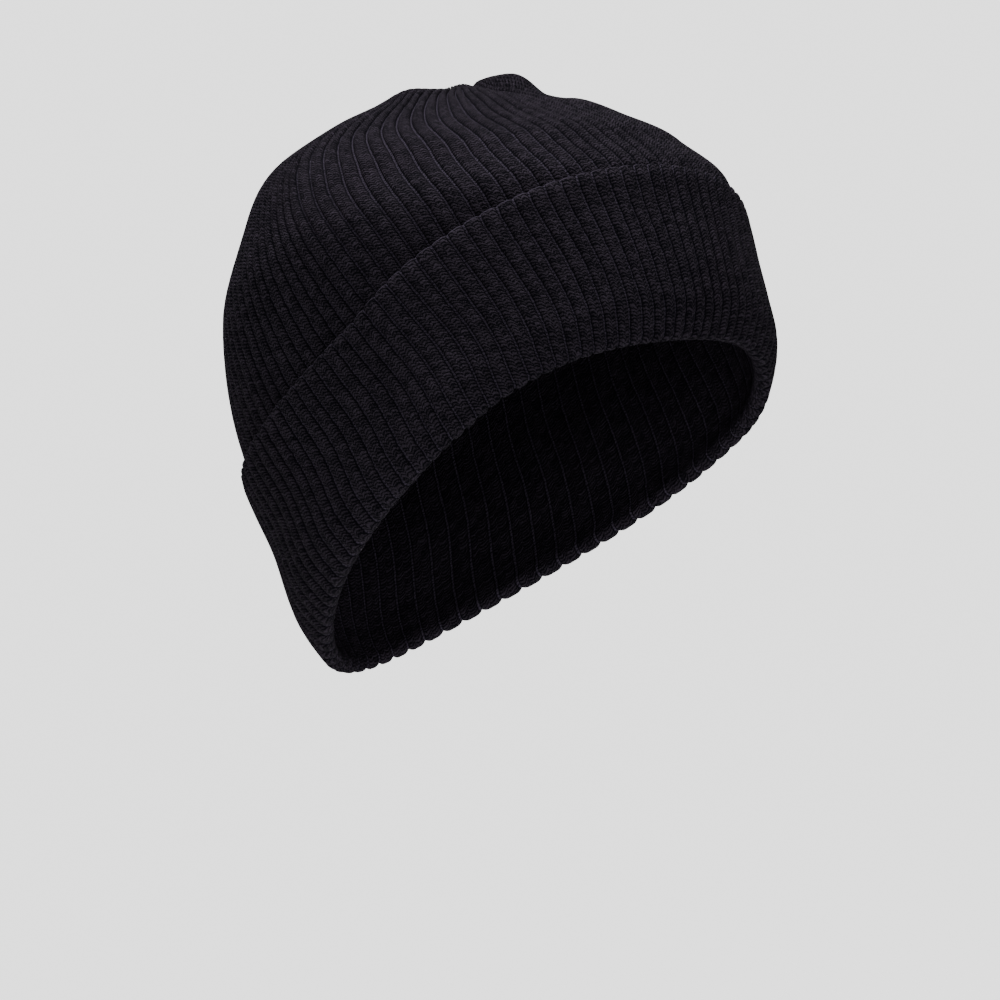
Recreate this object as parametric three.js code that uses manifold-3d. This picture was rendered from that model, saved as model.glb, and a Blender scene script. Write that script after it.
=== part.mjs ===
// Ribbed knit watch cap with a turned-up cuff, in the form that it has when worn. Units are mm.
// +Z is up as worn, the front faces -Y, and X = 0 is the mirror plane of the head opening.
// The origin is the centre of the head opening.
import * as THREE from 'three';
import Module from 'manifold-3d';

const wasm = await Module();
wasm.setup();

// Overall sizes of the cloth shell, measured on the outside of the crown wall.
const CROWN_RISE = 156;
const HALF_WIDTH = 95;
const HALF_LENGTH = 112;

// How far the rim is tipped, front up, and how much of that is left at the top of the crown.
const RIM_TILT = 30;
const TOP_TILT = 5;

// The knit: one rib is a raised wale and the recess beside it.
const RIB_COUNT = 88;
const RIB_DEPTH = 1.3;
const CLOTH_THICKNESS = 3.2;

// Share of the way round by which the ribs at the sides lie nearer the brow at the rim than at the top.
const RIB_LEAN = 0.036;

// The cuff stands off the crown wall by this clearance.
const CUFF_CLEARANCE = 0.6;
const CUFF_HEIGHT = 0.456;
const CUFF_FRONT_EXTRA = 0.12;
const CUFF_SIDE_LESS = 0.034;

// The rim dips at the ears and at the nape and rises over the brow.
const RIM_BROW_RISE = 3;
const RIM_TEMPLE_WAVE = 1.4;
const NAPE_PINCH = 0.37;
const PINCH_REACH = 0.5;

// The closed crown: four puffed lobes between two crossing seam valleys.
const LOBE_RISE = 5.5;
const LOBE_RADIUS = 17;
const LOBE_SHARPNESS = 5;
const VALLEY_DEPTH = 3.2;
const VALLEY_WIDTH = 6;
const VALLEY_REACH = 36;

// The sewn closing seam inside the crown.
const SEAM_WIDTH = 5;
const SEAM_DEPTH = 2.4;
const SEAM_CLEARANCE = 0.7;

const DEG = Math.PI / 180;

// Cross sections of the shell from the rim up. at: place along the wall; rise: share of CROWN_RISE;
// half: share of HALF_WIDTH; front, back and centre: shares of HALF_LENGTH, centre being where the
// section is widest, positive towards the nape.
const SECTIONS = [
  { at: 0.0, rise: 0.0, half: 0.815, front: 0.513, back: 1.363, centre: -0.444 },
  { at: 1.0, rise: 0.1, half: 0.869, front: 0.545, back: 1.406, centre: -0.425 },
  { at: 2.0, rise: 0.22, half: 0.884, front: 0.567, back: 1.35, centre: -0.366 },
  { at: 3.0, rise: 0.34, half: 0.912, front: 0.598, back: 1.312, centre: -0.288 },
  { at: 4.0, rise: 0.48, half: 0.959, front: 0.625, back: 1.232, centre: -0.202 },
  { at: 5.0, rise: 0.64, half: 1.0, front: 0.661, back: 1.044, centre: -0.102 },
  { at: 6.0, rise: 0.78, half: 0.921, front: 0.629, back: 0.672, centre: 0.023 },
  { at: 7.0, rise: 0.89, half: 0.779, front: 0.479, back: 0.411, centre: 0.077 },
  { at: 8.0, rise: 0.96, half: 0.547, front: 0.295, back: 0.25, centre: 0.054 },
  { at: 9.0, rise: 0.99, half: 0.3, front: 0.174, back: 0.125, centre: 0.054 },
  { at: 9.7, rise: 1.0, half: 0.0, front: 0.0, back: 0.0, centre: 0.067 },
];
const TOP_AT = SECTIONS[SECTIONS.length - 1].at;

// How full each lobe of the crown is. side: +1 at +X; end: +1 towards the nape; fill: share of LOBE_RISE.
const LOBES = [
  { side: 1, end: -1, fill: 1.0 },
  { side: -1, end: -1, fill: 0.4 },
  { side: 1, end: 1, fill: 0.55 },
  { side: -1, end: 1, fill: 0.55 },
];

// Soft dents and shoulders. angle: degrees round the cap, 0 at +X and 90 at the nape; at: place along
// the wall as a share; across: degrees; along: share of the wall; depth: mm, positive outwards.
const CREASES = [
  { angle: 150, at: 0.66, across: 26, along: 0.07, depth: 2.2 },
  { angle: 150, at: 0.78, across: 24, along: 0.05, depth: -2.0 },
  { angle: -150, at: 0.13, across: 9, along: 0.12, depth: -1.5 },
  { angle: -163, at: 0.1, across: 7, along: 0.12, depth: 1.4 },
];

// Monotone cubic curve through one column of the table.
function slopes(key) {
  const count = SECTIONS.length;
  const step = [];
  const rate = [];
  for (let i = 0; i < count - 1; i++) {
    step.push(SECTIONS[i + 1].at - SECTIONS[i].at);
    rate.push((SECTIONS[i + 1][key] - SECTIONS[i][key]) / step[i]);
  }
  const slope = [rate[0]];
  for (let i = 1; i < count - 1; i++) {
    if (rate[i - 1] * rate[i] <= 0) {
      slope.push(0);
    } else {
      const w1 = 2 * step[i] + step[i - 1];
      const w2 = step[i] + 2 * step[i - 1];
      slope.push((w1 + w2) / (w1 / rate[i - 1] + w2 / rate[i]));
    }
  }
  slope.push(rate[count - 2]);
  return slope;
}

const SLOPES = {};
for (const key of ['rise', 'half', 'front', 'back', 'centre']) {
  SLOPES[key] = slopes(key);
}

function column(key, share) {
  const at = Math.min(Math.max(share, 0), 1) * TOP_AT;
  let i = 0;
  while (i < SECTIONS.length - 2 && at > SECTIONS[i + 1].at) {
    i += 1;
  }
  const h = SECTIONS[i + 1].at - SECTIONS[i].at;
  const t = (at - SECTIONS[i].at) / h;
  const a = SECTIONS[i][key];
  const b = SECTIONS[i + 1][key];
  const ma = SLOPES[key][i] * h;
  const mb = SLOPES[key][i + 1] * h;
  const t2 = t * t;
  const t3 = t2 * t;
  return a * (2 * t3 - 3 * t2 + 1) + ma * (t3 - 2 * t2 + t) + b * (3 * t2 - 2 * t3) + mb * (t3 - t2);
}

// The shell without its lobes and creases. angle in radians, share 0 at the rim and 1 at the top.
function bare(angle, share) {
  const rise = column('rise', share);
  const c = Math.cos(angle);
  const s = Math.sin(angle);
  const rear = Math.max(s, 0);
  const pinch = NAPE_PINCH * Math.max(1 - rise / PINCH_REACH, 0) ** 2;
  const x = HALF_WIDTH * column('half', share) * c * (1 - pinch * rear * rear);
  const reach = s > 0 ? column('back', share) : column('front', share);
  const y = HALF_LENGTH * (column('centre', share) + reach * s);
  const wave = -RIM_BROW_RISE * Math.cos(2 * angle) - RIM_TEMPLE_WAVE * Math.cos(4 * angle);
  const z = CROWN_RISE * rise + wave * (1 - rise) ** 2;
  const tilt = (RIM_TILT + (TOP_TILT - RIM_TILT) * rise) * DEG;
  return new THREE.Vector3(x, y * Math.cos(tilt), z - y * Math.sin(tilt));
}

const POLE = bare(0, 1);
const POLE_NORMAL = new THREE.Vector3(0, Math.sin(TOP_TILT * DEG), Math.cos(TOP_TILT * DEG));

// Outward direction of the bare shell, and the direction along the wall towards the top.
function frameAt(angle, share) {
  if (share > 0.995) {
    return { out: POLE_NORMAL.clone(), up: new THREE.Vector3(1, 0, 0), rate: 1 };
  }
  const da = 0.004;
  const ds = 0.003;
  const round = bare(angle + da, share).sub(bare(angle - da, share));
  const low = Math.max(share - ds, 0);
  const up = bare(angle, share + ds).sub(bare(angle, low));
  const rate = up.length() / (share + ds - low);
  const out = new THREE.Vector3().crossVectors(round, up).normalize();
  return { out, up: up.normalize(), rate };
}

// Height of the puffed lobes above the bare shell near the top.
function puff(point) {
  const dx = point.x - POLE.x;
  const dy = point.y - POLE.y;
  const r = Math.hypot(dx, dy);
  if (r > 2.2 * VALLEY_REACH) {
    return 0;
  }
  const swell = (r / LOBE_RADIUS) * Math.exp(1 - r / LOBE_RADIUS);
  const seamSide = Math.exp(-((Math.abs(dx) / VALLEY_WIDTH) ** 2));
  const seamFront = Math.exp(-((Math.abs(dy) / VALLEY_WIDTH) ** 2));
  const fade = Math.exp(-((r / VALLEY_REACH) ** 2));
  let fill = 0;
  for (const row of LOBES) {
    const across = Math.max(row.side * dx, 0) * Math.max(row.end * dy, 0);
    fill += r > 0.01 ? (row.fill * 2 * across) / (r * r) : 0;
  }
  const lobe = LOBE_RISE * fill * swell ** LOBE_SHARPNESS;
  return lobe - VALLEY_DEPTH * Math.max(seamSide, seamFront) * fade;
}

function crease(angle, share) {
  let sum = 0;
  for (const row of CREASES) {
    const turn = Math.atan2(Math.sin(angle - row.angle * DEG), Math.cos(angle - row.angle * DEG));
    const a = turn / (row.across * DEG);
    const b = (share - row.at) / row.along;
    sum += row.depth * Math.exp(-a * a - b * b);
  }
  return sum;
}

// A point of the cloth, lift mm outside the outer face of the crown wall.
function cloth(angle, share, lift) {
  const base = bare(angle, share);
  const { out } = frameAt(angle, share);
  return base.clone().addScaledVector(out, lift + puff(base) + crease(angle, share));
}

// Length round the wall, used to space the ribs evenly.
const COLUMN_COUNT = 2 * RIB_COUNT;
const SPACING_SHARE = 0.4;
const ROUND_STEPS = 1440;
const ROUND_START = -Math.PI / 2;
function roundLengths() {
  const lengths = [0];
  let last = bare(ROUND_START, SPACING_SHARE);
  for (let i = 1; i <= ROUND_STEPS; i++) {
    const next = bare(ROUND_START + (2 * Math.PI * i) / ROUND_STEPS, SPACING_SHARE);
    lengths.push(lengths[i - 1] + next.distanceTo(last));
    last = next;
  }
  return lengths;
}
const LENGTHS = roundLengths();

// Angle of the place that lies part of the way round, part 0 at the brow.
function angleAt(part) {
  const whole = Math.floor(part);
  const target = LENGTHS[ROUND_STEPS] * (part - whole);
  let low = 0;
  let high = ROUND_STEPS;
  while (high - low > 1) {
    const mid = (low + high) >> 1;
    if (LENGTHS[mid] <= target) {
      low = mid;
    } else {
      high = mid;
    }
  }
  const rest = (target - LENGTHS[low]) / (LENGTHS[high] - LENGTHS[low]);
  return ROUND_START + 2 * Math.PI * (whole + (low + rest) / ROUND_STEPS);
}

// The angle at which a rib lies at a place along the wall, part being the rib's share of the way round.
function leaned(part, share) {
  return angleAt(part - RIB_LEAN * Math.sin(2 * Math.PI * part) * (1 - share));
}

function ribbed(part, share, lift) {
  return cloth(leaned(part, share), share, lift);
}

// Share of the wall where the top edge of the cuff lies.
function cuffTop(angle) {
  const rise = CUFF_HEIGHT - CUFF_FRONT_EXTRA * Math.sin(angle) - CUFF_SIDE_LESS * Math.cos(2 * angle);
  let low = 0;
  let high = 1;
  for (let i = 0; i < 30; i++) {
    const mid = (low + high) / 2;
    if (column('rise', mid) < rise) {
      low = mid;
    } else {
      high = mid;
    }
  }
  return low;
}

// The same for a rib: a lean depends on the height, so the angle is taken where the cuff's edge is.
function cuffShare(part) {
  return cuffTop(leaned(part, cuffTop(angleAt(part))));
}

// The fold at the rim is half a round whose lowest point lies on the rim line.
const CUFF_INNER = CUFF_CLEARANCE;
const CUFF_OUTER = CUFF_CLEARANCE + CLOTH_THICKNESS;
const FOLD_CENTRE = CUFF_CLEARANCE / 2;
const FOLD_RADIUS = CLOTH_THICKNESS + CUFF_CLEARANCE / 2;

function foldShare(angle) {
  return FOLD_RADIUS / frameAt(angle, 0.02).rate;
}

function foldPoint(part, bend, relief) {
  const share = foldShare(leaned(part, 0));
  const angle = leaned(part, share);
  const base = bare(angle, share);
  const { out, up } = frameAt(angle, share);
  const radius = FOLD_RADIUS - relief;
  const lift = FOLD_CENTRE + radius * Math.cos(bend) + crease(angle, share);
  return base.clone().addScaledVector(out, lift).addScaledVector(up, -radius * Math.sin(bend));
}

// Rings of points from the top outside, down the crown, into the pocket, over the cuff, round the
// fold and up the inside. A full ring has a point on each wale and each recess, a half ring on wales.
const rings = [];
const points = [];

function addRing(step, place) {
  const ring = [];
  for (let j = 0; j < COLUMN_COUNT; j += step) {
    ring.push(points.length);
    points.push(place(j / COLUMN_COUNT, j % 2 === 1));
  }
  rings.push(ring);
}

const CROWN_STEPS = [0.965, 0.91, 0.84, 0.75, 0.65, 0.54, 0.43, 0.32, 0.21, 0.1, 0];
const POCKET_STEPS = [0.66, 0.36];
const POCKET_FLOOR = 0.09;
const CUFF_STEPS = [0.96, 0.84, 0.7, 0.56, 0.42, 0.28, 0.16];
const INNER_CUFF_STEPS = [0.24, 0.5, 0.8];
const INNER_CROWN_STEPS = [0, 0.21, 0.43, 0.65, 0.84, 0.965];
const EDGE_OUTER = 0.7;
const EDGE_INNER = 0.25;

// Wales crowd together near the top, so their relief fades there.
function reliefAt(angle, share) {
  const r = Math.hypot(bare(angle, share).x - POLE.x, bare(angle, share).y - POLE.y);
  return RIB_DEPTH * Math.min(1, r / (0.45 * HALF_WIDTH));
}

points.push(cloth(0, 1, 0));
for (const step of CROWN_STEPS) {
  addRing(1, (part, recess) => {
    const top = cuffShare(part);
    const share = top + (1 - top) * step;
    return ribbed(part, share, recess ? -reliefAt(leaned(part, share), share) : 0);
  });
}
for (const step of [...POCKET_STEPS, POCKET_FLOOR]) {
  addRing(2, (part) => ribbed(part, cuffShare(part) * step, 0));
}
for (const step of [POCKET_FLOOR, ...POCKET_STEPS.toReversed()]) {
  addRing(2, (part) => ribbed(part, cuffShare(part) * step, CUFF_INNER));
}
addRing(2, (part) => ribbed(part, cuffShare(part), CUFF_INNER + EDGE_INNER * CLOTH_THICKNESS));
addRing(1, (part, recess) => {
  return ribbed(part, cuffShare(part), CUFF_INNER + EDGE_OUTER * CLOTH_THICKNESS - (recess ? 0.5 * RIB_DEPTH : 0));
});
for (const step of CUFF_STEPS) {
  addRing(1, (part, recess) => {
    const share = Math.max(cuffShare(part) * step, foldShare(leaned(part, 0)));
    return ribbed(part, share, CUFF_OUTER - (recess ? RIB_DEPTH : 0));
  });
}
addRing(1, (part, recess) => foldPoint(part, 20 * DEG, recess ? RIB_DEPTH : 0));
addRing(1, (part, recess) => foldPoint(part, 70 * DEG, recess ? RIB_DEPTH : 0));
addRing(2, (part) => foldPoint(part, 125 * DEG, 0));
addRing(2, (part) => foldPoint(part, 180 * DEG, 0));
for (const step of INNER_CUFF_STEPS) {
  addRing(2, (part) => ribbed(part, cuffShare(part) * step, -CLOTH_THICKNESS));
}
for (const step of INNER_CROWN_STEPS) {
  addRing(2, (part) => {
    const top = cuffShare(part);
    return ribbed(part, top + (1 - top) * step, -CLOTH_THICKNESS);
  });
}
points.push(cloth(0, 1, -CLOTH_THICKNESS));

// Joins two neighbouring rings, which have as many points or twice or half as many.
const faces = [];
function joinRings(upper, lower) {
  const many = Math.max(upper.length, lower.length);
  const few = Math.min(upper.length, lower.length);
  for (let j = 0; j < few; j++) {
    const k = (j + 1) % few;
    if (upper.length === lower.length) {
      faces.push([upper[j], lower[j], lower[k]], [upper[j], lower[k], upper[k]]);
    } else if (upper.length === many) {
      const a = upper[2 * j];
      const b = upper[2 * j + 1];
      const c = upper[(2 * j + 2) % many];
      faces.push([a, lower[j], b], [b, lower[j], lower[k]], [b, lower[k], c]);
    } else {
      const a = lower[2 * j];
      const b = lower[2 * j + 1];
      const c = lower[(2 * j + 2) % many];
      faces.push([upper[j], a, b], [upper[j], b, upper[k]], [upper[k], b, c]);
    }
  }
}

const first = rings[0];
for (let j = 0; j < first.length; j++) {
  faces.push([0, first[j], first[(j + 1) % first.length]]);
}
for (let i = 0; i < rings.length - 1; i++) {
  joinRings(rings[i], rings[i + 1]);
}
const last = rings[rings.length - 1];
for (let j = 0; j < last.length; j++) {
  faces.push([last[j], points.length - 1, last[(j + 1) % last.length]]);
}

function bodyGeometry(corners, triangles) {
  const geometry = new THREE.BufferGeometry();
  const flat = corners.flatMap((p) => [p.x, p.y, p.z]);
  geometry.setAttribute('position', new THREE.Float32BufferAttribute(flat, 3));
  geometry.setIndex(triangles.flat());
  return geometry;
}

// The closing seam: two padded ridges that cross under the top of the crown, each following the
// inner face of the cloth from one side to the other.
const SEAM_STEPS = [0.84, 0.965];
const SEAM_END = 0.65;

// The side seam runs straight below the top, so its angle follows the width of each section.
function seamAngle(angle, step) {
  if (Math.abs(Math.cos(angle)) < 0.5) {
    return angle;
  }
  let low = -Math.PI / 2;
  let high = Math.PI / 2;
  for (let i = 0; i < 30; i++) {
    const mid = (low + high) / 2;
    const top = cuffTop(mid);
    if (bare(mid, top + (1 - top) * step).y < POLE.y) {
      low = mid;
    } else {
      high = mid;
    }
  }
  return Math.cos(angle) > 0 ? low : Math.PI - low;
}

function seamPath(angle) {
  const path = [];
  for (const step of [SEAM_END, ...SEAM_STEPS]) {
    const turned = seamAngle(angle, step);
    const top = cuffTop(turned);
    path.push([turned, top + (1 - top) * step]);
  }
  return path;
}

function seamSolid(angle) {
  const stations = [...seamPath(angle), [0, 1], ...seamPath(angle + Math.PI).toReversed()];
  const side = new THREE.Vector3(-Math.sin(angle), Math.cos(angle), 0);
  const corners = [];
  const triangles = [];
  for (const [a, share] of stations) {
    const upper = cloth(a, share, -CLOTH_THICKNESS - SEAM_CLEARANCE);
    const lower = cloth(a, share, -CLOTH_THICKNESS - SEAM_CLEARANCE - SEAM_DEPTH);
    const { out } = frameAt(a, share);
    const across = side.clone().addScaledVector(out, -side.dot(out)).normalize();
    corners.push(upper.clone().addScaledVector(across, -SEAM_WIDTH / 2));
    corners.push(upper.clone().addScaledVector(across, SEAM_WIDTH / 2));
    corners.push(lower.clone().addScaledVector(across, SEAM_WIDTH * 0.35));
    corners.push(lower.clone().addScaledVector(across, -SEAM_WIDTH * 0.35));
  }
  for (let i = 0; i < stations.length - 1; i++) {
    for (let j = 0; j < 4; j++) {
      const a = 4 * i + j;
      const b = 4 * i + ((j + 1) % 4);
      triangles.push([a, b, a + 4], [b, b + 4, a + 4]);
    }
  }
  const end = 4 * (stations.length - 1);
  triangles.push([0, 2, 1], [0, 3, 2], [end, end + 1, end + 2], [end, end + 2, end + 3]);
  const mesh = new wasm.Mesh({
    numProp: 3,
    vertProperties: new Float32Array(corners.flatMap((p) => [p.x, p.y, p.z])),
    triVerts: new Uint32Array(triangles.flat()),
  });
  return new wasm.Manifold(mesh);
}

function seamGeometry() {
  const joined = seamSolid(-Math.PI / 2).add(seamSolid(0)).getMesh();
  const geometry = new THREE.BufferGeometry();
  geometry.setAttribute('position', new THREE.Float32BufferAttribute(joined.vertProperties, 3));
  geometry.setIndex(Array.from(joined.triVerts));
  return geometry;
}

const knitMaterial = new THREE.MeshStandardMaterial({ color: 0x1b181f, roughness: 0.95 });
knitMaterial.name = 'black_rib_knit';
const threadMaterial = new THREE.MeshStandardMaterial({ color: 0x141217, roughness: 0.8 });
threadMaterial.name = 'black_sewing_thread';

const knitCap = new THREE.Mesh(bodyGeometry(points, faces), knitMaterial);
knitCap.name = 'knit_cap';
const crownSeam = new THREE.Mesh(seamGeometry(), threadMaterial);
crownSeam.name = 'crown_seam';

const part = new THREE.Group();
part.name = 'watch_cap';
part.add(knitCap, crownSeam);

export default part;
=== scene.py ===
# %% [markdown]
# # A ribbed knit watch cap
# The cap is one tube of rib knit. Its lower end is folded up into a deep cuff and its upper end is
# closed by two crossing seams. It is shown as a head stretches it: the rim is tipped up over the brow
# and down at the nape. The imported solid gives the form, and this lesson dresses it in knitted cloth.
# Sizes are written in millimetres, the scene is in metres, +Z is up and the brow faces -Y.

# %% Load the fixed frame
import bpy
import bmesh
import math
import numpy as np
from mathutils import Matrix, Vector


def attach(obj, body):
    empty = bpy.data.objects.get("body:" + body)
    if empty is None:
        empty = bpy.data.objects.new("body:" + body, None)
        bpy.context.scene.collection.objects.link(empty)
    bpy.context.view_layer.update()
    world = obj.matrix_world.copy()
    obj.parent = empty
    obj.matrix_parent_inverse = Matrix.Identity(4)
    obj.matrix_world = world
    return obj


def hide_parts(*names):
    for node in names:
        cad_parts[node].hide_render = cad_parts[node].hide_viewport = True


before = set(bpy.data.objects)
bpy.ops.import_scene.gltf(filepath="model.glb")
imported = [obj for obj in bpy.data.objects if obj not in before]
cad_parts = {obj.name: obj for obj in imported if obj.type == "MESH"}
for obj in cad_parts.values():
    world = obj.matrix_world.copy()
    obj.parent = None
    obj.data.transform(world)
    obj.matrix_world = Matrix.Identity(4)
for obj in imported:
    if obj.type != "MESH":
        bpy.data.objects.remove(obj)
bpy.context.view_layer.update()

# %% [markdown]
# ## The shell's sections
# A head under stretched cloth gives a smooth form, so a short table of cross sections is enough. Each
# row gives how high the section lies, how wide it is, how far it reaches forwards and backwards, and
# where it is widest, all as shares of the named sizes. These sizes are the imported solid's own. Two
# things are too fine for the solid and are added here: the rib grooves are cut 0.4 mm deeper and run
# nearer to the top, and small gathers surround the place where the two seams cross.

# %% Sizes and section table
MM, MM_PER_METRE = 0.001, 1000
# Rises, widths, lengths and depths are in millimetres, tilts in degrees. The cuff's height and the
# pinch are shares of the crown's rise, and the lean of the ribs is a part of one turn.
CROWN_RISE, HALF_WIDTH, HALF_LENGTH = 156.0, 95.0, 112.0
RIM_TILT, TOP_TILT = 30.0, 5.0
RIB_COUNT, RIB_GROOVE, CLOTH_THICKNESS = 88, 1.7, 3.2
RIB_LEAN = 0.036
CUFF_CLEARANCE, CUFF_HEIGHT, CUFF_FRONT_EXTRA, CUFF_SIDE_LESS = 0.6, 0.456, 0.12, 0.034
RIM_BROW_RISE, RIM_TEMPLE_WAVE = 3.0, 1.4
NAPE_PINCH, PINCH_REACH = 0.37, 0.5
LOBE_RISE, LOBE_RADIUS, LOBE_SHARPNESS = 5.5, 17.0, 5
VALLEY_DEPTH, VALLEY_WIDTH, VALLEY_REACH = 3.2, 6.0, 36.0

SECTION_COLUMNS = ("at", "rise", "half", "front", "back", "centre")
SECTIONS = np.array([
    (0.0, 0.0, 0.815, 0.513, 1.363, -0.444),
    (1.0, 0.1, 0.869, 0.545, 1.406, -0.425),
    (2.0, 0.22, 0.884, 0.567, 1.35, -0.366),
    (3.0, 0.34, 0.912, 0.598, 1.312, -0.288),
    (4.0, 0.48, 0.959, 0.625, 1.232, -0.202),
    (5.0, 0.64, 1.0, 0.661, 1.044, -0.102),
    (6.0, 0.78, 0.921, 0.629, 0.672, 0.023),
    (7.0, 0.89, 0.779, 0.479, 0.411, 0.077),
    (8.0, 0.96, 0.547, 0.295, 0.25, 0.054),
    (9.0, 0.99, 0.3, 0.174, 0.125, 0.054),
    (9.7, 1.0, 0.0, 0.0, 0.0, 0.067),
])
# Columns: side, +1 is the wearer's left; end, +1 is the nape; how full the lobe is.
LOBES = (
    (1, -1, 1.0),
    (-1, -1, 0.4),
    (1, 1, 0.55),
    (-1, 1, 0.55),
)
# Columns: turn in degrees and distance from the middle of the top, half size across and along, rise.
GATHERS = (
    (-160.0, 35.0, 9.0, 9.0, 2.8),
    (-133.0, 19.0, 6.0, 6.0, -1.2),
    (-80.0, 12.0, 5.0, 5.0, 3.4),
    (-108.0, 13.0, 7.0, 6.0, 2.6),
    (-52.0, 25.0, 8.0, 6.0, 2.0),
    (-48.0, 37.0, 14.0, 7.0, -2.4),
)
# Columns: angle in degrees, share of the wall, half size in degrees and in shares, lift off the wall.
CREASES = (
    (150.0, 0.66, 26.0, 0.07, 2.2),
    (150.0, 0.78, 24.0, 0.05, -2.0),
    (-150.0, 0.13, 9.0, 0.12, -1.5),
    (-163.0, 0.1, 7.0, 0.12, 1.4),
)


def monotone_slopes(at, values):
    """Slopes of a curve that never overshoots its table."""
    step = np.diff(at)
    rate = np.diff(values) / step
    slope = np.zeros(len(values))
    slope[0], slope[-1] = rate[0], rate[-1]
    for i in range(1, len(values) - 1):
        if rate[i - 1] * rate[i] > 0:
            near, far = 2 * step[i] + step[i - 1], step[i] + 2 * step[i - 1]
            slope[i] = (near + far) / (near / rate[i - 1] + far / rate[i])
    return slope


SLOPES = {name: monotone_slopes(SECTIONS[:, 0], SECTIONS[:, i])
          for i, name in enumerate(SECTION_COLUMNS)}


def section(name, share):
    """One column of the table at shares of the wall, 0 at the rim and 1 at the top."""
    at = np.clip(share, 0, 1) * SECTIONS[-1, 0]
    values, slope = SECTIONS[:, SECTION_COLUMNS.index(name)], SLOPES[name]
    i = np.clip(np.searchsorted(SECTIONS[:, 0], at, side="right") - 1, 0, len(SECTIONS) - 2)
    h = SECTIONS[i + 1, 0] - SECTIONS[i, 0]
    t = (at - SECTIONS[i, 0]) / h
    rise_part = slope[i] * h * (t ** 3 - 2 * t ** 2 + t) + slope[i + 1] * h * (t ** 3 - t ** 2)
    return values[i] * (2 * t ** 3 - 3 * t ** 2 + 1) + values[i + 1] * (3 * t ** 2 - 2 * t ** 3) + rise_part


print("section width at mid wall:", float(2 * HALF_WIDTH * section("half", np.array(0.5))))

# %% [markdown]
# ## The shell as a formula
# With an angle round the head and a share of the wall, every point of the cloth has an address. The
# same formula then serves the outside, the inside, the pocket behind the cuff and the seam, each at
# its own lift from the crown wall, so that the layers can't cross.

# %% Shell, lobes and creases
# Short steps round the cap, in radians, and up the wall, which show the way that the wall faces.
ANGLE_STEP, WALL_STEP, LAST_SHARE = 0.004, 0.003, 0.994
POLE_BLEND_START, POLE_BLEND_LENGTH = 0.97, 0.025
PUFF_REACH = 2.2 * VALLEY_REACH
SMALLEST_SQUARE, SMALLEST_LENGTH = 1e-4, 1e-9
WALL_SAMPLES = 2001


def bare(angle, share):
    """Points of the shell without lobes or creases."""
    rise = section("rise", share)
    c, s = np.cos(angle), np.sin(angle)
    pinch = NAPE_PINCH * np.maximum(1 - rise / PINCH_REACH, 0) ** 2
    x = HALF_WIDTH * section("half", share) * c * (1 - pinch * np.maximum(s, 0) ** 2)
    reach = np.where(s > 0, section("back", share), section("front", share))
    y = HALF_LENGTH * (section("centre", share) + reach * s)
    wave = -RIM_BROW_RISE * np.cos(2 * angle) - RIM_TEMPLE_WAVE * np.cos(4 * angle)
    z = CROWN_RISE * rise + wave * (1 - rise) ** 2
    tilt = np.radians(RIM_TILT + (TOP_TILT - RIM_TILT) * rise)
    return np.stack([x, y * np.cos(tilt), z - y * np.sin(tilt)], -1)


POLE = bare(np.array(0.0), np.array(1.0))
POLE_OUT = np.array([0.0, math.sin(math.radians(TOP_TILT)), math.cos(math.radians(TOP_TILT))])


def unit(v):
    """Vectors of the same direction and of length 1."""
    return v / np.maximum(np.linalg.norm(v, axis=-1, keepdims=True), SMALLEST_LENGTH)


def directions(angle, share):
    """Outward direction, direction up the wall, and wall length per share."""
    near = np.minimum(share, LAST_SHARE)
    round_step = bare(angle + ANGLE_STEP, near) - bare(angle - ANGLE_STEP, near)
    low = np.maximum(near - WALL_STEP, 0)
    up = bare(angle, near + WALL_STEP) - bare(angle, low)
    rate = np.linalg.norm(up, axis=-1) / (near + WALL_STEP - low)
    out = unit(np.cross(round_step, up))
    blend = np.clip((share - POLE_BLEND_START) / POLE_BLEND_LENGTH, 0, 1)[..., None]
    return unit(out * (1 - blend) + POLE_OUT * blend), unit(up), rate


def puff(points):
    """The four lobes between the crossing seam valleys, with the small gathers of the closed top."""
    dx, dy = points[..., 0] - POLE[0], points[..., 1] - POLE[1]
    r = np.hypot(dx, dy)
    fill = sum(2 * share * np.maximum(side * dx, 0) * np.maximum(end * dy, 0) for side, end, share in LOBES)
    swell = (r / LOBE_RADIUS) * np.exp(1 - r / LOBE_RADIUS)
    valley = np.maximum(np.exp(-(dx / VALLEY_WIDTH) ** 2), np.exp(-(dy / VALLEY_WIDTH) ** 2))
    lobe = LOBE_RISE * fill / np.maximum(r * r, SMALLEST_SQUARE) * swell ** LOBE_SHARPNESS
    height = lobe - VALLEY_DEPTH * valley * np.exp(-(r / VALLEY_REACH) ** 2)
    for turn, distance, across, length, rise in GATHERS:
        c, s = math.cos(math.radians(turn)), math.sin(math.radians(turn))
        outwards, sideways = (dx * c + dy * s - distance) / length, (dy * c - dx * s) / across
        height = height + rise * np.exp(-outwards ** 2 - sideways ** 2)
    return np.where(r > PUFF_REACH, 0, height)


def crease(angle, share):
    """Soft folds of the wall, out or in."""
    total = np.zeros(np.broadcast(angle, share).shape)
    for turn, at, across, length, lift in CREASES:
        a = np.angle(np.exp(1j * (angle - math.radians(turn)))) / math.radians(across)
        total = total + lift * np.exp(-a ** 2 - ((share - at) / length) ** 2)
    return total


def cuff_top(angle):
    """Share of the wall at the top edge of the cuff."""
    rise = CUFF_HEIGHT - CUFF_FRONT_EXTRA * np.sin(angle) - CUFF_SIDE_LESS * np.cos(2 * angle)
    fine = np.linspace(0, 1, WALL_SAMPLES)
    return np.interp(rise, section("rise", fine), fine)


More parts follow.
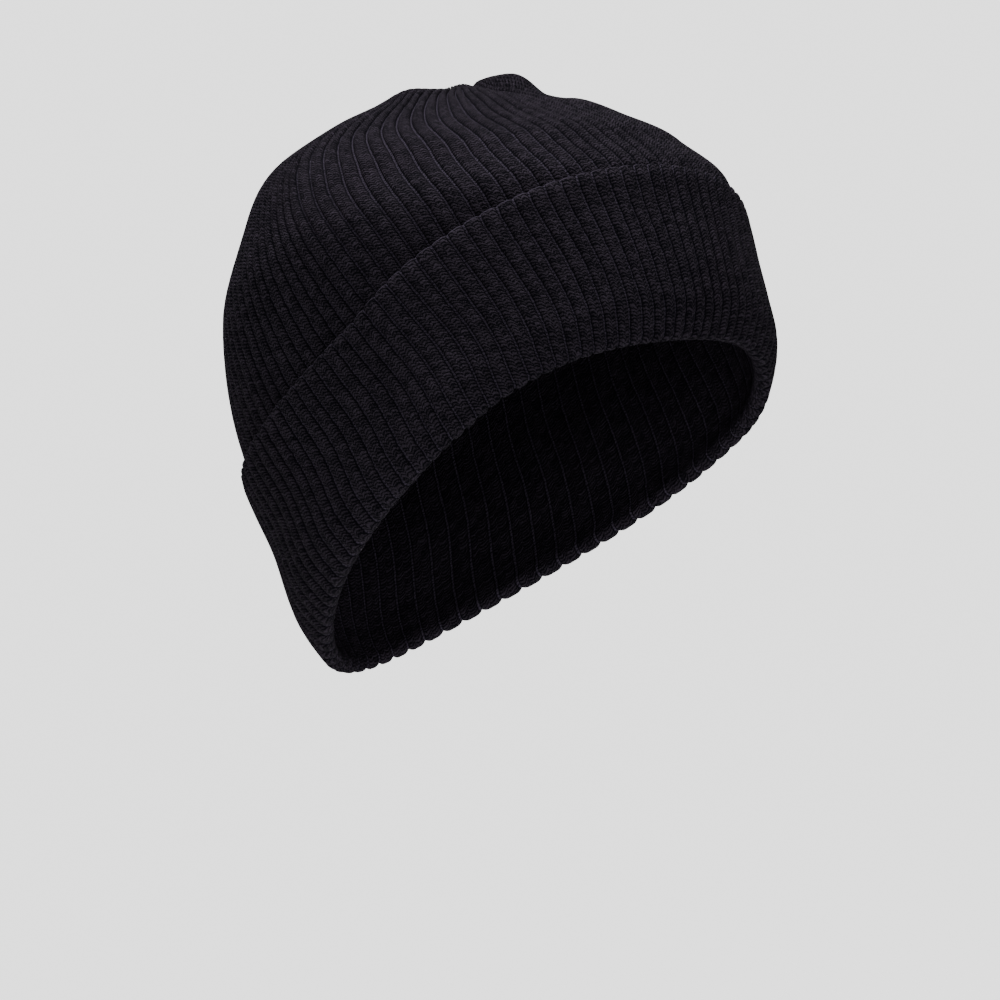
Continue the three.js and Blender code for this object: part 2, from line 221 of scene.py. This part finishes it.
# %% [markdown]
# ## Where the ribs run
# The cap is knitted with a fixed number of ribs, which the head spreads evenly, so the columns of the
# mesh are placed by distance round the wall. Eight columns make one rib: a broad rounded ridge that is
# two stitches wide, and the narrow groove beside it, where a single chain of stitches shows.

# %% Columns of the cloth
COLUMNS_PER_RIB = 8
COLUMN_COUNT = RIB_COUNT * COLUMNS_PER_RIB
# The first row is the distance from the middle of a groove, in ribs, the second how high cloth stands.
RIB_PROFILE = ((0.0, 0.125, 0.25, 0.375, 0.5), (0.0, 0.6, 0.93, 1.0, 0.98))
# Ribs wander by a small part of a turn, less and less over the upper third of the wall.
RIB_WANDER, WANDER_FADE = 0.0004, 3
# Columns: waves round the cap, waves up the wall, shift from layer to layer, strength.
WANDER_WAVES = (
    (5, 7, 1, 1.0),
    (11, -13, 2, 0.6),
    (17, 21, 5, 0.5),
)
SPACING_SHARE, ROUND_SAMPLES = 0.4, 1441
fine_angle = -math.pi / 2 + np.linspace(0, 2 * math.pi, ROUND_SAMPLES)
ring = bare(fine_angle, np.full(ROUND_SAMPLES, SPACING_SHARE))
along = np.concatenate([[0], np.cumsum(np.linalg.norm(np.diff(ring, axis=0), axis=1))])
column_place = np.arange(COLUMN_COUNT + 1) / COLUMNS_PER_RIB
column_part = column_place / RIB_COUNT
from_groove = np.abs(column_place - np.round(column_place))
rib_height = np.interp(from_groove, RIB_PROFILE[0], RIB_PROFILE[1])


def angle_at(part):
    """Angle of the places that lie part of the way round, part 0 at the brow."""
    whole = np.floor(part)
    return np.interp((part - whole) * along[-1], along, fine_angle) + 2 * math.pi * whole


def leaned(share, layer=0.0):
    """Where the ribs lie at a share of the wall: they lean back towards the top, and wander a little."""
    turn = 2 * math.pi * column_part
    wander = sum(strength * np.sin(waves * turn + climb * share + shift * layer)
                 for waves, climb, shift, strength in WANDER_WAVES)
    fade = np.minimum(1, WANDER_FADE * (1 - share))
    part = column_part - RIB_LEAN * np.sin(turn) * (1 - share) + RIB_WANDER * wander * fade
    return angle_at(part)


print("round the wall: %.0f mm, one rib: %.2f mm" % (along[-1], along[-1] / RIB_COUNT))

# %% [markdown]
# ## One sheet, folded
# On the real cap a single layer runs from the top down to the rim, turns round and climbs again as
# the cuff. So the mesh is one sheet of rows too: down the crown, into the pocket, over the cuff's
# edge, down the cuff, round the fold and up the inside.

# %% Rows of the cloth
CUFF_INNER = CUFF_CLEARANCE
CUFF_OUTER = CUFF_CLEARANCE + CLOTH_THICKNESS
EDGE_RADIUS = CLOTH_THICKNESS / 2
FOLD_LIFT, FOLD_RADIUS = CUFF_CLEARANCE / 2, CLOTH_THICKNESS + CUFF_CLEARANCE / 2
# The ribs of the cuff wander in another way than the ribs of the wall behind it.
CUFF_LAYER = 2.0
CROWN_ROWS, CUFF_ROWS, INNER_CUFF_ROWS, INNER_CROWN_ROWS = 58, 34, 8, 14
# Rows lie at shares of the way up to the cuff's edge, and round the edges at bends in degrees.
POCKET_STEPS = (0.93, 0.84, 0.72)
CUFF_FIRST, CUFF_LAST = 0.97, 0.07
INNER_CUFF_FIRST, INNER_CUFF_LAST, INNER_CROWN_FIRST = 0.12, 0.95, 0.06
EDGE_BENDS = (160, 120, 80, 40)
FOLD_BENDS = (12, 36, 60, 84, 108, 132, 156, 180)
# Shares of the ribs' full relief, less than 0 where a ridge outside is a groove inside.
POCKET_RELIEF, EDGE_RELIEF, INSIDE_RELIEF = 0.2, 0.35, -0.35
# Ribs run out within this share of the half width from the middle of the top.
TOP_FADE = 0.3
# The fold is measured just above the rim, and the rows inside begin a little above the fold.
RIM_SHARE, FOLD_MARGIN = 0.02, 1.2
top_share = cuff_top(leaned(cuff_top(angle_at(column_part))))
rim_angle = leaned(np.zeros(COLUMN_COUNT + 1))
fold_share = FOLD_RADIUS / directions(rim_angle, np.full(COLUMN_COUNT + 1, RIM_SHARE))[2]


def cloth_row(share, lift, relief_scale, layer=0.0):
    """One row of points, at a share for each column."""
    angle = leaned(share, layer)
    base = bare(angle, share)
    out, _, _ = directions(angle, share)
    fade = np.minimum(1, np.hypot(*(base - POLE)[:, :2].T) / (TOP_FADE * HALF_WIDTH))
    ribs = relief_scale * RIB_GROOVE * (rib_height - 1) * fade
    return base + out * (lift + puff(base) + crease(angle, share) + ribs)[:, None]


def turned_row(share, centre, radius, bend, sign, relief_scale, layer=0.0):
    """One row of points round an edge: bend 0 is the outer side, pi the inner side."""
    angle = leaned(share, layer)
    base = bare(angle, share)
    out, up, _ = directions(angle, share)
    ribbed = radius + relief_scale * RIB_GROOVE * (rib_height - 1)
    lift = centre + ribbed * math.cos(bend) + crease(angle, share)
    return base + out * lift[:, None] + up * (sign * ribbed * math.sin(bend))[:, None]


rows, edge_rows = [], []
for step in np.linspace(1, 0, CROWN_ROWS):
    rows.append(cloth_row(top_share + (1 - top_share) * step, 0.0, 1.0))
for step in POCKET_STEPS:
    rows.append(cloth_row(top_share * step, 0.0, POCKET_RELIEF))
for step in POCKET_STEPS[::-1]:
    rows.append(cloth_row(top_share * step, CUFF_INNER, 0.0, CUFF_LAYER))
edge_share = top_share - EDGE_RADIUS / directions(leaned(top_share), top_share)[2]
edge_centre = CUFF_INNER + EDGE_RADIUS
for bend in np.radians(EDGE_BENDS):
    edge_rows.append(len(rows))
    rows.append(turned_row(edge_share, edge_centre, EDGE_RADIUS, bend, 1, EDGE_RELIEF, CUFF_LAYER))
for step in np.linspace(CUFF_FIRST, CUFF_LAST, CUFF_ROWS):
    rows.append(cloth_row(np.maximum(edge_share * step, fold_share), CUFF_OUTER, 1.0, CUFF_LAYER))
for bend in np.radians(FOLD_BENDS):
    fold_relief = math.cos(bend / 2) ** 2
    rows.append(turned_row(fold_share, FOLD_LIFT, FOLD_RADIUS, bend, -1, fold_relief, CUFF_LAYER))
for step in np.linspace(INNER_CUFF_FIRST, INNER_CUFF_LAST, INNER_CUFF_ROWS):
    inner_share = np.maximum(top_share * step, fold_share * FOLD_MARGIN)
    rows.append(cloth_row(inner_share, -CLOTH_THICKNESS, INSIDE_RELIEF))
for step in np.linspace(INNER_CROWN_FIRST, 1, INNER_CROWN_ROWS):
    rows.append(cloth_row(top_share + (1 - top_share) * step, -CLOTH_THICKNESS, INSIDE_RELIEF))
cloth_points = np.array(rows) * MM
ROW_COUNT = len(rows)
print("rows:", ROW_COUNT, "columns:", COLUMN_COUNT, "triangles about", 2 * ROW_COUNT * COLUMN_COUNT)

# %% [markdown]
# ## The mesh
# A flat grid has the sheet's topology already. Its points are moved to their places on the cap, and
# its own flat coordinates stay on it as a map: across in ribs, along in knitted rows. The two side
# edges meet at the middle of the brow and are welded, and so is each end at the top.

# %% Grid to cap
ROW_PITCH = 1.25
WELD_DISTANCE = 0.002 * MM
row_step = np.linalg.norm(np.diff(cloth_points, axis=0), axis=2) * MM_PER_METRE
row_step = (row_step[:, :-1:COLUMNS_PER_RIB, None] + np.zeros(COLUMNS_PER_RIB)).reshape(ROW_COUNT - 1, -1)
row_place = np.concatenate([np.zeros((1, COLUMN_COUNT)), np.cumsum(row_step, axis=0)]) / ROW_PITCH
row_place = np.concatenate([row_place, row_place[:, :1]], axis=1)
# The count of knitted rows is evened out over two ribs, right round the cap.
smooth = np.hanning(2 * COLUMNS_PER_RIB + 1)
before, after = row_place[:, -COLUMNS_PER_RIB - 1:-1], row_place[:, 1:COLUMNS_PER_RIB + 1]
wrapped = np.concatenate([before, row_place, after], axis=1)
row_place = np.array([np.convolve(row, smooth / smooth.sum(), "valid") for row in wrapped])
# Two rows round the cuff's edge are marked for a painted highlight.
edge_glow = np.array([1.0 if i in edge_rows[1:3] else 0.0 for i in range(ROW_COUNT)])


def grid_object(name, points, across, lengthwise, glow):
    """A welded mesh from a grid of points, with a map named knit_map and a value named cuff_edge_highlight."""
    count_along, count_across = points.shape[:2]
    bm = bmesh.new()
    bmesh.ops.create_grid(bm, x_segments=count_across - 1, y_segments=count_along - 1, size=1.0)
    layer = bm.loops.layers.uv.new("knit_map")
    # This value marks where the cuff's edge gets a painted highlight.
    glow_layer = bm.verts.layers.float.new("cuff_edge_highlight")
    column = [round((v.co.x + 1) / 2 * (count_across - 1)) for v in bm.verts]
    line = [round((v.co.y + 1) / 2 * (count_along - 1)) for v in bm.verts]
    bm.verts.index_update()
    for face in bm.faces:
        for loop in face.loops:
            i = loop.vert.index
            loop[layer].uv = (across[column[i]], lengthwise[line[i], column[i]])
    for v in bm.verts:
        v.co = points[line[v.index], column[v.index]]
        v[glow_layer] = glow[line[v.index]]
    bmesh.ops.remove_doubles(bm, verts=bm.verts, dist=WELD_DISTANCE)
    bmesh.ops.recalc_face_normals(bm, faces=bm.faces)
    mesh = bpy.data.meshes.new(name)
    bm.to_mesh(mesh)
    bm.free()
    mesh.polygons.foreach_set("use_smooth", [True] * len(mesh.polygons))
    piece = bpy.data.objects.new(name, mesh)
    bpy.context.collection.objects.link(piece)
    return piece


knit_cloth = grid_object("knit_cloth", cloth_points, column_place, row_place, edge_glow)
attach(knit_cloth, "root")
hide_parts("knit_cap")
print("knit cloth faces:", len(knit_cloth.data.polygons))

# %% [markdown]
# ## Colour helpers
# Colours are written as they look on a screen and turned to the linear values that light works in.
# One small function adds a node, sets it and links its inputs. The others call it for a sum, a step
# between two values, a mixture of two colours and the rounded tops of strands.

# %% Colour and node helpers


def linear(hex_colour):
    """The light that a screen colour stands for."""
    channels = [int(hex_colour[i:i + 2], 16) / 255 for i in (1, 3, 5)]
    return [c / 12.92 if c <= 0.04045 else ((c + 0.055) / 1.055) ** 2.4 for c in channels] + [1.0]


def add_node(tree, kind, settings=None, links=None):
    """A node with its settings and input values, and with sockets linked to its inputs."""
    node = tree.nodes.new(kind)
    for key, value in (settings or {}).items():
        if isinstance(key, int):
            node.inputs[key].default_value = value
        elif hasattr(node, key):
            setattr(node, key, value)
        else:
            node.inputs[key].default_value = value
    for key, source in (links or {}).items():
        tree.links.new(source, node.inputs[key])
    return node


def maths(tree, operation, a, b=None, c=None, clamp=False):
    """A Math node whose inputs are sockets or numbers."""
    given = {i: v for i, v in enumerate((a, b, c)) if v is not None}
    numbers = {i: v for i, v in given.items() if isinstance(v, (int, float))}
    sockets = {i: v for i, v in given.items() if i not in numbers}
    settings = {"operation": operation, "use_clamp": clamp, **numbers}
    return add_node(tree, "ShaderNodeMath", settings, sockets).outputs[0]


def varied(tree, noise, amount):
    """Noise from 0 to 1 turned into more and less by half an amount."""
    return maths(tree, "MULTIPLY_ADD", noise, amount, -amount / 2)


def strands(tree, count):
    """Rounded tops of strands that lie side by side, one for each whole number of a count."""
    return maths(tree, "ABSOLUTE", maths(tree, "SINE", maths(tree, "MULTIPLY", count, math.pi)))


def rising(tree, value, start, end, shape="LINEAR"):
    """A step from 0 at the start to 1 at the end, and the start may be the larger."""
    settings = {"interpolation_type": shape, 1: start, 2: end, 3: 0.0, 4: 1.0}
    return add_node(tree, "ShaderNodeMapRange", settings, {0: value}).outputs[0]


def mixed(tree, share, first, second):
    """A colour between two others, which are sockets or screen colours."""
    given = {6: first, 7: second}
    colours = {i: linear(v) for i, v in given.items() if isinstance(v, str)}
    sockets = {i: v for i, v in given.items() if i not in colours}
    node = add_node(tree, "ShaderNodeMix", {"data_type": "RGBA", **colours}, {0: share, **sockets})
    return node.outputs[2]


# %% [markdown]
# ## Rib knit in black acrylic worsted
# Each ridge is two stitches wide. The head stretches them sideways, so a stitch shows as a flat arc
# with a dark gap under it, and that gap is painted shade. The single stitch in each groove is painted
# paler, as a thin chain of painted highlight. The yarn is dyed black with a little violet and is matt;
# the soft bloom of loose fibres and the highest stitch tops are painted sheen. The stitches are drawn
# from the cloth's own map, so they follow the ribs wherever these lean.

# %% Knit material
# Of these colours the gap's is painted shade, the chain's a painted highlight and the bloom's a painted
# sheen; only the yarn's is the dye.
KNIT_GAP_SHADE, KNIT_YARN, KNIT_CHAIN_HIGHLIGHT, KNIT_FIBRE_SHEEN = "#020203", "#0c0a0d", "#19161c", "#151217"
# How far stitches wander, in ribs and in knitted rows, and how much a stitch and the fibres vary.
RIB_SLIP, ROW_SLIP, STITCH_VARIES, FIBRES_VARY = 0.08, 1.4, 0.5, 2.4
# The arc of a stitch: width and middle in ribs, rise in rows, and the step to the next stitch beside.
ARC_WIDTH, ARC_MIDDLE, ARC_RISE, STITCH_STEP = 0.6, 0.27, 0.28, 0.5
STITCHES_PER_RIB = 2.0
# Distances from the middle of a groove, in ribs. The ridge's heights fade between its edge and its full
# width, which lowers the bump and darkens the groove's sides beside the chain with painted shade.
CHAIN_EDGE, CHAIN_FULL, RIDGE_EDGE, RIDGE_FULL = 0.07, 0.03, 0.03, 0.14
CHAIN_SWELL, CHAIN_BASE = 0.9, 0.1
# Heights, in yarns, at which the yarn begins to show through the painted gap shade, shows fully, and is all
# painted bloom sheen.
YARN_SHOWS, YARN_FULL, FIBRE_SHEEN_FULL = 0.35, 0.8, 1.5
EDGE_BASE = 0.9
knit_black = bpy.data.materials.new("acrylic_rib_knit_black")
knit_black.use_nodes = True
tree = knit_black.node_tree
tree.nodes.clear()
output = add_node(tree, "ShaderNodeOutputMaterial")
# High roughness and hardly any mirror reflection: spun fibres scatter light, as dyed acrylic does.
yarn = add_node(tree, "ShaderNodeBsdfPrincipled", {
    "Roughness": 0.92, "IOR": 1.45, "Specular IOR Level": 0.004})
tree.links.new(yarn.outputs[0], output.inputs[0])
stitch_map = add_node(tree, "ShaderNodeUVMap", {"uv_map": "knit_map"})
place = add_node(tree, "ShaderNodeTexCoord").outputs["Object"]
# Machine tension varies, so stitches wander by a part of a row and by a little of a rib.
wander = add_node(tree, "ShaderNodeTexNoise", {"Scale": 420.0, "Detail": 2.0}, {"Vector": place})
wander_xyz = add_node(tree, "ShaderNodeSeparateXYZ", None, {0: wander.outputs["Color"]})
stitch_xyz = add_node(tree, "ShaderNodeSeparateXYZ", None, {0: stitch_map.outputs[0]})
rib_place = maths(tree, "ADD", stitch_xyz.outputs[0], varied(tree, wander_xyz.outputs[0], RIB_SLIP))
row_number = maths(tree, "ADD", stitch_xyz.outputs[1], varied(tree, wander_xyz.outputs[1], ROW_SLIP))
beside = maths(tree, "PINGPONG", rib_place, 0.5)
# The arc of one stitch, highest at its middle, between the groove and the middle of the ridge.
arc_turn = maths(tree, "MULTIPLY_ADD", beside, 2 * math.pi / ARC_WIDTH,
                 -ARC_MIDDLE * 2 * math.pi / ARC_WIDTH)
arc = maths(tree, "COSINE", arc_turn)
stitch_side = maths(tree, "FLOOR", maths(tree, "MULTIPLY", rib_place, STITCHES_PER_RIB))
stitch_row = maths(tree, "MULTIPLY_ADD", stitch_side, STITCH_STEP, row_number)
arc_row = maths(tree, "MULTIPLY_ADD", arc, ARC_RISE, stitch_row)
whole_row = maths(tree, "FLOOR", arc_row)
stitch_cell = add_node(tree, "ShaderNodeCombineXYZ", None, {0: stitch_side, 1: whole_row})
stitch_chance = add_node(tree, "ShaderNodeTexWhiteNoise", {"noise_dimensions": "2D"},
                         {"Vector": stitch_cell.outputs[0]})
# Loose fibres cross the stitches and break them up.
fibre = add_node(tree, "ShaderNodeTexNoise", {"Scale": 1900.0, "Detail": 2.0, "Roughness": 0.6},
                 {"Vector": place})
fuzz = varied(tree, fibre.outputs["Fac"], FIBRES_VARY)
stitch_height = maths(tree, "ADD", strands(tree, arc_row),
                      varied(tree, stitch_chance.outputs["Value"], STITCH_VARIES))
ridge_height = maths(tree, "ADD", stitch_height, fuzz)
chain_yarn = maths(tree, "MULTIPLY_ADD", strands(tree, row_number), CHAIN_SWELL, CHAIN_BASE)
chain_height = maths(tree, "ADD", chain_yarn, fuzz)
chain = rising(tree, beside, CHAIN_EDGE, CHAIN_FULL, "SMOOTHSTEP")
ridge = rising(tree, beside, RIDGE_EDGE, RIDGE_FULL, "SMOOTHSTEP")
height = maths(tree, "MAXIMUM", maths(tree, "MULTIPLY", ridge_height, ridge),
               maths(tree, "MULTIPLY", chain_height, chain))
bump = add_node(tree, "ShaderNodeBump", {"Strength": 0.7, "Distance": 0.0005}, {"Height": height})
tree.links.new(bump.outputs[0], yarn.inputs["Normal"])
# Painted shade darkens the gaps between stitches. The tops carry the dye's faint violet, and the highest
# tops and loose fibres get a paler painted sheen.
tone = mixed(tree, rising(tree, height, YARN_SHOWS, YARN_FULL), KNIT_GAP_SHADE, KNIT_YARN)
tone = mixed(tree, rising(tree, height, YARN_FULL, FIBRE_SHEEN_FULL), tone, KNIT_FIBRE_SHEEN)
# The chain in each groove is painted paler, as a painted highlight.
tone = mixed(tree, maths(tree, "MULTIPLY", chain, chain_height, clamp=True), tone, KNIT_CHAIN_HIGHLIGHT)
# The cuff's free edge is a rolled line of loops that stands up to the light, so it gets a painted highlight
# in the chain's colour.
edge = add_node(tree, "ShaderNodeAttribute", {"attribute_name": "cuff_edge_highlight"}).outputs["Fac"]
edge = maths(tree, "MULTIPLY", edge, maths(tree, "ADD", fuzz, EDGE_BASE), clamp=True)
tone = mixed(tree, edge, tone, KNIT_CHAIN_HIGHLIGHT)
tree.links.new(tone, yarn.inputs["Base Color"])
knit_cloth.data.materials.append(knit_black)
print("knit material nodes:", len(tree.nodes))

# %% [markdown]
# ## The closing seam
# The top is closed by two seams that cross. Inside the cap each shows as a padded ridge, oversewn with
# thread. It is a round bar laid along the valley, with a swelling at each overlocking stitch.

# %% Seam ridge
SEAM_WIDTH, SEAM_DEPTH, SEAM_CLEARANCE = 5.0, 2.4, 0.7
# Shares of the crown above the cuff at which the ridge is led up the wall.
SEAM_STEPS = (0.65, 0.84, 0.965)
SEAM_RINGS, SEAM_CORNERS, FAN_SAMPLES = 160, 17, 721
# The ridge's share of its width between stitches, what a stitch adds, and the stitch's length.
SEAM_WAIST, SEAM_SWELL, SEAM_STITCH = 0.86, 0.14, 2.2
THREAD_TURNS = 55


def valley_place(angle, step):
    """Angle and share of the point where a section crosses the valley on one side."""
    turned = np.array(angle)
    side = round(math.cos(angle))
    if side:
        fan = np.linspace(-math.pi / 2, math.pi / 2, FAN_SAMPLES)
        share = cuff_top(fan)
        y = bare(fan, share + (1 - share) * step)[:, 1]
        low = np.interp(POLE[1], y, fan)
        turned = np.array(low if side > 0 else math.pi - low)
    share = cuff_top(turned)
    return turned, share + (1 - share) * step


def seam_points(angle):
    """Rings of points along one seam, from one side over the top to the other."""
    stations = []
    for start, steps in ((angle, SEAM_STEPS), (angle + math.pi, SEAM_STEPS[::-1])):
        for step in steps:
            turned, share = valley_place(start, step)
            base = bare(turned, share)
            out = directions(turned, share)[0]
            stations.append((base + out * (puff(base) - CLOTH_THICKNESS - SEAM_CLEARANCE), out))
        if start == angle:
            top_lift = -VALLEY_DEPTH - CLOTH_THICKNESS - SEAM_CLEARANCE
            stations.append((POLE + POLE_OUT * top_lift, POLE_OUT))
    centres = np.array([s[0] for s in stations])
    outs = np.array([s[1] for s in stations])
    travel = np.concatenate([[0], np.cumsum(np.linalg.norm(np.diff(centres, axis=0), axis=1))])
    fine = np.linspace(0, travel[-1], SEAM_RINGS)
    centres = np.stack([np.interp(fine, travel, centres[:, i]) for i in range(3)], -1)
    outs = unit(np.stack([np.interp(fine, travel, outs[:, i]) for i in range(3)], -1))
    side = np.array([-math.sin(angle), math.cos(angle), 0.0])
    across = unit(side - outs * (outs @ side)[:, None])
    swell = SEAM_WAIST + SEAM_SWELL * np.abs(np.sin(fine * math.pi / SEAM_STITCH))
    swell[0] = swell[-1] = 0.0
    bend = np.linspace(0, 2 * math.pi, SEAM_CORNERS)
    middle = centres - outs * (SEAM_DEPTH / 2)
    sideways = across[:, None] * (SEAM_WIDTH / 2 * swell[:, None] * np.cos(bend))[..., None]
    outwards = outs[:, None] * (SEAM_DEPTH / 2 * swell[:, None] * np.sin(bend))[..., None]
    return (middle[:, None] + sideways + outwards) * MM


seam_round = np.linspace(0, 1, SEAM_CORNERS)
seam_turns = np.repeat(np.linspace(0, THREAD_TURNS, SEAM_RINGS)[:, None], SEAM_CORNERS, axis=1)
no_glow = np.zeros(SEAM_RINGS)
seam_ridges = [grid_object("seam_ridge_%d" % i, seam_points(turn), seam_round, seam_turns, no_glow)
               for i, turn in enumerate((-math.pi / 2, 0.0))]
closing_seam = seam_ridges[0]
joined = bmesh.new()
for ridge in seam_ridges:
    joined.from_mesh(ridge.data)
joined.to_mesh(closing_seam.data)
joined.free()
bpy.data.objects.remove(seam_ridges[1])
closing_seam.name = "closing_seam"
closing_seam.data.polygons.foreach_set("use_smooth", [True] * len(closing_seam.data.polygons))
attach(closing_seam, "root")
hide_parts("crown_seam")
print("seam faces:", len(closing_seam.data.polygons))

# %% [markdown]
# ## Spun polyester sewing thread
# The overlocking thread wraps the ridge in slanting turns, with painted shade between the turns. It is
# smoother than the yarn, so it catches a little more light.

# %% Thread material
# The gap colour is painted shade between the thread's turns; the top colour is the thread's own.
THREAD_GAP_SHADE, THREAD_TOP = "#020203", "#1a171d"
THREAD_STRANDS = 3.0
thread_black = bpy.data.materials.new("polyester_overlock_thread_black")
thread_black.use_nodes = True
tree = thread_black.node_tree
tree.nodes.clear()
output = add_node(tree, "ShaderNodeOutputMaterial")
thread = add_node(tree, "ShaderNodeBsdfPrincipled", {
    "Roughness": 0.6, "IOR": 1.54, "Specular IOR Level": 0.08, "Sheen Weight": 0.01})
tree.links.new(thread.outputs[0], output.inputs[0])
thread_map = add_node(tree, "ShaderNodeUVMap", {"uv_map": "knit_map"})
thread_xyz = add_node(tree, "ShaderNodeSeparateXYZ", None, {0: thread_map.outputs[0]})
turns_along = maths(tree, "MULTIPLY", thread_xyz.outputs[1], THREAD_STRANDS)
turns = maths(tree, "MULTIPLY_ADD", thread_xyz.outputs[0], THREAD_STRANDS, turns_along)
wrap = strands(tree, turns)
bump = add_node(tree, "ShaderNodeBump", {"Strength": 0.8, "Distance": 0.0004}, {"Height": wrap})
tree.links.new(bump.outputs[0], thread.inputs["Normal"])
# Painted shade darkens the thread between its turns.
tree.links.new(mixed(tree, wrap, THREAD_GAP_SHADE, THREAD_TOP), thread.inputs["Base Color"])
closing_seam.data.materials.append(thread_black)
print("thread material nodes:", len(tree.nodes))

# %% [markdown]
# ## Camera
# The picture is taken from in front of the wearer's right side, slightly from below, from far enough
# away that the cap is hardly foreshortened. In the picture the cap leans a little to one side, so the
# camera leans by the same angle.

# %% Camera
# Angles are in degrees and the distance is in metres.
CAMERA_AZIMUTH, CAMERA_ELEVATION, CAMERA_LEAN = -44.0, -7.0, -8.3
CAMERA_DISTANCE, PIXELS_PER_MM = 2.2, 2.75
# The pixel where the frame's origin appears, and the pixel in the middle of the picture.
ORIGIN_PIXEL, MIDDLE_PIXEL = (509.5, 518.2), 500
SENSOR_WIDTH, FARTHEST = 36, 100
azimuth, elevation = math.radians(CAMERA_AZIMUTH), math.radians(CAMERA_ELEVATION)
backwards = Vector((math.sin(azimuth) * math.cos(elevation), -math.cos(azimuth) * math.cos(elevation),
                    math.sin(elevation)))
rightwards = Vector((math.cos(azimuth), math.sin(azimuth), 0))
lean = Matrix.Rotation(math.radians(-CAMERA_LEAN), 3, "Y")
backwards, rightwards = lean @ backwards, lean @ rightwards
upwards = backwards.cross(rightwards)
per_pixel = MM / PIXELS_PER_MM
camera_data = bpy.data.cameras.new("studio_camera")
# The picture is 1000 pixels wide and a metre has 1000 millimetres, so neither shows in the lens.
camera_data.lens = PIXELS_PER_MM * CAMERA_DISTANCE * SENSOR_WIDTH
camera_data.sensor_width = SENSOR_WIDTH
camera_data.clip_end = FARTHEST
camera = bpy.data.objects.new("studio_camera", camera_data)
bpy.context.collection.objects.link(camera)
turn = Matrix((rightwards, upwards, backwards)).transposed().to_4x4()
spot = (backwards * CAMERA_DISTANCE + rightwards * (MIDDLE_PIXEL - ORIGIN_PIXEL[0]) * per_pixel
        + upwards * (ORIGIN_PIXEL[1] - MIDDLE_PIXEL) * per_pixel)
camera.matrix_world = Matrix.Translation(spot) @ turn
bpy.context.scene.camera = camera
print("camera at", [round(v, 3) for v in camera.location], "lens", round(camera_data.lens, 1))

# %% [markdown]
# ## Studio
# A pale floor lies well below the cap, which is held up as a head holds it. Large soft lights above
# and in front give a black cloth its form by gentle gradients rather than by sharp highlights.

# %% Floor, lights and surroundings
FLOOR_HEIGHT, FLOOR_HALF_SIZE = -0.75, 60.0
WORLD_STRENGTH = 2.2
bm = bmesh.new()
bmesh.ops.create_grid(bm, x_segments=2, y_segments=2, size=FLOOR_HALF_SIZE)
bmesh.ops.translate(bm, verts=bm.verts, vec=(0, 0, FLOOR_HEIGHT))
floor_mesh = bpy.data.meshes.new("studio_floor")
bm.to_mesh(floor_mesh)
bm.free()
floor = bpy.data.objects.new("studio_floor", floor_mesh)
bpy.context.collection.objects.link(floor)
floor_paint = bpy.data.materials.new("matt_floor_paint")
floor_paint.use_nodes = True
floor_paint.node_tree.nodes["Principled BSDF"].inputs["Base Color"].default_value = linear("#ffffff")
floor_paint.node_tree.nodes["Principled BSDF"].inputs["Roughness"].default_value = 0.9
floor_mesh.materials.append(floor_paint)

# Columns: name, place and size in metres, power in watts.
LIGHTS = (
    ("overhead_softbox", (-0.15, 0.05, 1.9), 1.2, 340.0),
    ("front_softbox", (-1.2, -2.0, 0.9), 1.4, 50.0),
)
for name, spot, size, power in LIGHTS:
    data = bpy.data.lights.new(name, "AREA")
    data.size = size
    data.energy = power
    lamp = bpy.data.objects.new(name, data)
    lamp.location = spot
    lamp.rotation_euler = (-Vector(spot)).to_track_quat("-Z", "Y").to_euler()
    bpy.context.collection.objects.link(lamp)
world = bpy.data.worlds.new("pale_surroundings")
world.use_nodes = True
world.node_tree.nodes["Background"].inputs[0].default_value = (1, 1, 1, 1)
world.node_tree.nodes["Background"].inputs[1].default_value = WORLD_STRENGTH
bpy.context.scene.world = world
